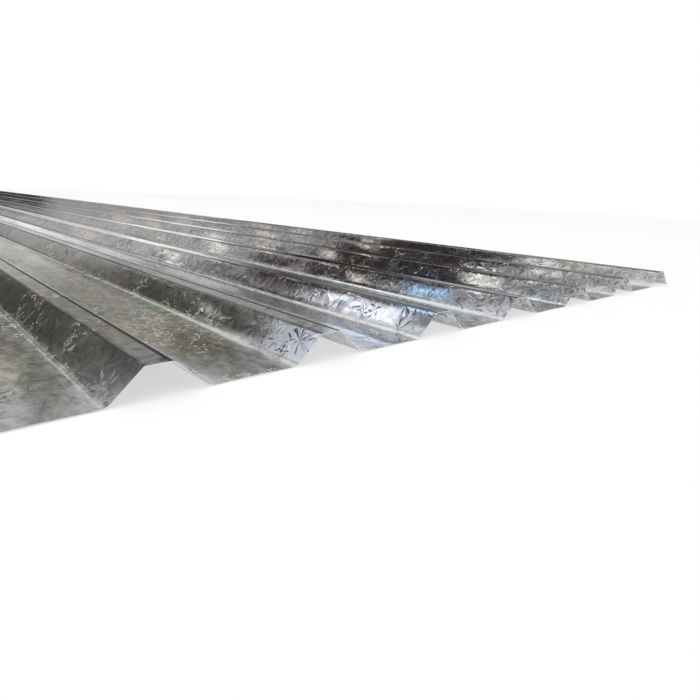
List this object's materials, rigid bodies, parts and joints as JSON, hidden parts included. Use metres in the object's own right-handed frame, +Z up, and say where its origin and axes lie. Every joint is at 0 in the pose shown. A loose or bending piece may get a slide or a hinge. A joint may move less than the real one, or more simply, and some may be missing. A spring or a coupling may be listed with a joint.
{
  "type": "corrugated metal sheet",
  "caption": "Long galvanised steel sheet roll-formed with narrow trapezoidal ribs between broad flat pans, for roofs, walls and decks.",
  "frame": {"origin": "middle of the sheet's underside, in the plane of the pans it rests on", "axes": "+X along the ribs towards one cut end, +Y across the ribs, +Z up out of the pans towards the crests"},
  "size_m": [6, 1.077, 0.0205],
  "materials": {
    "galvanised_steel": "hot-dip galvanised, bright zinc with large leaf-shaped spangle, light scuffs"
  },
  "bodies": {
    "root": {"ribbed_sheet": "galvanised_steel"}
  },
  "joints": []
}
